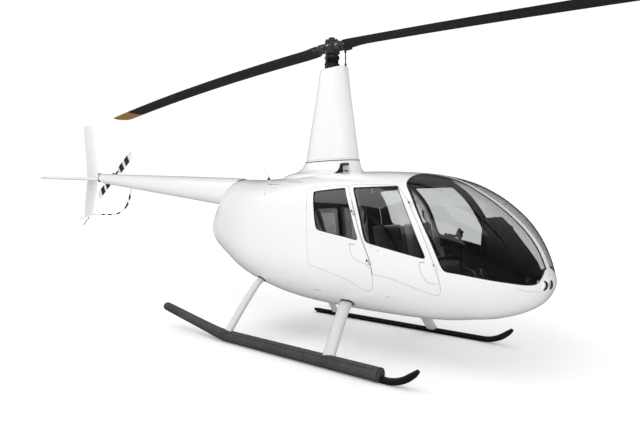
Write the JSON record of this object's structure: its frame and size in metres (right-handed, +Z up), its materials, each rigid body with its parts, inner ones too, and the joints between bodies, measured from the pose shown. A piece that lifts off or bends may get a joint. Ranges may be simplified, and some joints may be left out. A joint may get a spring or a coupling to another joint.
{
  "type": "light helicopter",
  "caption": "Light piston helicopter with a rounded glazed cabin, tall mast fairing, slender tailcone, skid landing gear, swinging cabin doors and free-turning main and tail rotors.",
  "frame": {"origin": "middle of the whole machine's footprint, on the ground under the skids", "axes": "+X towards the nose along the tailcone, +Y to port, +Z up along the rotor mast"},
  "size_m": [11.4018, 1.842, 3.28],
  "materials": {
    "lower_fuselage": "gloss white paint",
    "cabin_roof": "gloss white paint",
    "aft_fuselage": "gloss white paint",
    "mast_fairing": "gloss white paint",
    "mast_base_fairing": "gloss white paint",
    "tailcone": "gloss white paint",
    "upper_fin": "gloss white paint",
    "lower_fin": "gloss white paint",
    "horizontal_stabiliser": "gloss white paint",
    "front_door_starboard": "gloss white paint",
    "front_door_port": "gloss white paint",
    "rear_door_starboard": "gloss white paint",
    "rear_door_port": "gloss white paint",
    "windshield_centre_strip": "gloss white paint",
    "front_cross_tube": "gloss white paint",
    "rear_cross_tube": "gloss white paint",
    "whip_antenna": "gloss white paint",
    "door_post_starboard": "satin black paint",
    "door_post_port": "satin black paint",
    "skid_starboard": "satin black paint",
    "skid_port": "satin black paint",
    "tail_rotor_guard": "satin black paint",
    "tail_skid": "satin black paint",
    "main_blade_forward": "matt charcoal paint",
    "main_blade_aft": "matt charcoal paint",
    "tail_blade_upper": "matt charcoal paint",
    "tail_blade_lower": "matt charcoal paint",
    "rotor_hub": "satin dark grey paint",
    "blade_grip_forward": "satin dark grey paint",
    "blade_grip_aft": "satin dark grey paint",
    "windshield_starboard": "clear acrylic sheet",
    "windshield_port": "clear acrylic sheet",
    "front_window_starboard": "clear acrylic sheet",
    "front_window_port": "clear acrylic sheet",
    "rear_window_starboard": "clear acrylic sheet",
    "rear_window_port": "clear acrylic sheet",
    "landing_light_outer": "clear acrylic sheet",
    "landing_light_inner": "clear acrylic sheet",
    "instrument_pod": "matt black",
    "cyclic_control": "matt black",
    "cabin_floor": "dark carpeted panel",
    "rear_bulkhead": "dark carpeted panel",
    "front_seat_base": "grey leather",
    "rear_seat_base": "grey leather",
    "front_seat_starboard": "grey leather",
    "front_seat_port": "grey leather",
    "rear_seat_starboard": "grey leather",
    "rear_seat_port": "grey leather",
    "engine": "cast and machined alloy",
    "cooling_fan": "cast and machined alloy",
    "tail_gearbox": "cast and machined alloy",
    "tail_rotor_hub": "cast and machined alloy",
    "rotor_shaft": "machined steel",
    "exhaust_pipe": "machined steel",
    "trailing_rod": "machined steel",
    "pitch_link_forward": "machined steel",
    "pitch_link_aft": "machined steel",
    "swashplate": "ribbed black boot",
    "float_cover_starboard": "dark grey coated cover"
  },
  "bodies": {
    "airframe": {"lower_fuselage": "lower_fuselage", "cabin_roof": "cabin_roof", "aft_fuselage": "aft_fuselage", "mast_fairing": "mast_fairing", "mast_base_fairing": "mast_base_fairing", "tailcone": "tailcone", "upper_fin": "upper_fin", "lower_fin": "lower_fin", "horizontal_stabiliser": "horizontal_stabiliser", "windshield_centre_strip": "windshield_centre_strip", "front_cross_tube": "front_cross_tube", "rear_cross_tube": "rear_cross_tube", "whip_antenna": "whip_antenna", "door_post_starboard": "door_post_starboard", "door_post_port": "door_post_port", "skid_starboard": "skid_starboard", "skid_port": "skid_port", "tail_rotor_guard": "tail_rotor_guard", "tail_skid": "tail_skid", "windshield_starboard": "windshield_starboard", "windshield_port": "windshield_port", "landing_light_outer": "landing_light_outer", "landing_light_inner": "landing_light_inner", "instrument_pod": "instrument_pod", "cyclic_control": "cyclic_control", "cabin_floor": "cabin_floor", "rear_bulkhead": "rear_bulkhead", "front_seat_base": "front_seat_base", "rear_seat_base": "rear_seat_base", "front_seat_starboard": "front_seat_starboard", "front_seat_port": "front_seat_port", "rear_seat_starboard": "rear_seat_starboard", "rear_seat_port": "rear_seat_port", "engine": "engine", "cooling_fan": "cooling_fan", "tail_gearbox": "tail_gearbox", "exhaust_pipe": "exhaust_pipe", "trailing_rod": "trailing_rod", "float_cover_starboard": "float_cover_starboard"},
    "main_rotor": {"rotor_shaft": "rotor_shaft", "rotor_hub": "rotor_hub", "swashplate": "swashplate", "main_blade_forward": "main_blade_forward", "main_blade_aft": "main_blade_aft", "blade_grip_forward": "blade_grip_forward", "blade_grip_aft": "blade_grip_aft", "pitch_link_forward": "pitch_link_forward", "pitch_link_aft": "pitch_link_aft"},
    "tail_rotor": {"tail_rotor_hub": "tail_rotor_hub", "tail_blade_upper": "tail_blade_upper", "tail_blade_lower": "tail_blade_lower"},
    "front_door_starboard_body": {"front_door_starboard": "front_door_starboard", "front_window_starboard": "front_window_starboard"},
    "front_door_port_body": {"front_door_port": "front_door_port", "front_window_port": "front_window_port"},
    "rear_door_starboard_body": {"rear_door_starboard": "rear_door_starboard", "rear_window_starboard": "rear_window_starboard"},
    "rear_door_port_body": {"rear_door_port": "rear_door_port", "rear_window_port": "rear_window_port"}
  },
  "joints": [
    {"name": "main_rotor_turn", "type": "hinge", "parent": "airframe", "child": "main_rotor", "pos_m": [0.655, 0, 3.184], "axis": [0, 0, 1], "continuous": true},
    {"name": "tail_rotor_turn", "type": "hinge", "parent": "airframe", "child": "tail_rotor", "pos_m": [-5.045, 0.375, 2], "axis": [0, 1, 0], "continuous": true},
    {"name": "front_door_starboard_hinge", "type": "hinge", "parent": "airframe", "child": "front_door_starboard_body", "pos_m": [2.285, -0.612, 0.95], "axis": [-0.4447, 0.0512, 0.8942], "range_deg": [0, 80]},
    {"name": "front_door_port_hinge", "type": "hinge", "parent": "airframe", "child": "front_door_port_body", "pos_m": [2.285, 0.612, 0.95], "axis": [0.4447, 0.0512, -0.8942], "range_deg": [0, 80]},
    {"name": "rear_door_starboard_hinge", "type": "hinge", "parent": "airframe", "child": "rear_door_starboard_body", "pos_m": [1.625, -0.663, 0.95], "axis": [-0.3843, 0.0423, 0.9223], "range_deg": [0, 75]},
    {"name": "rear_door_port_hinge", "type": "hinge", "parent": "airframe", "child": "rear_door_port_body", "pos_m": [1.625, 0.663, 0.95], "axis": [0.3843, 0.0423, -0.9223], "range_deg": [0, 75]}
  ]
}
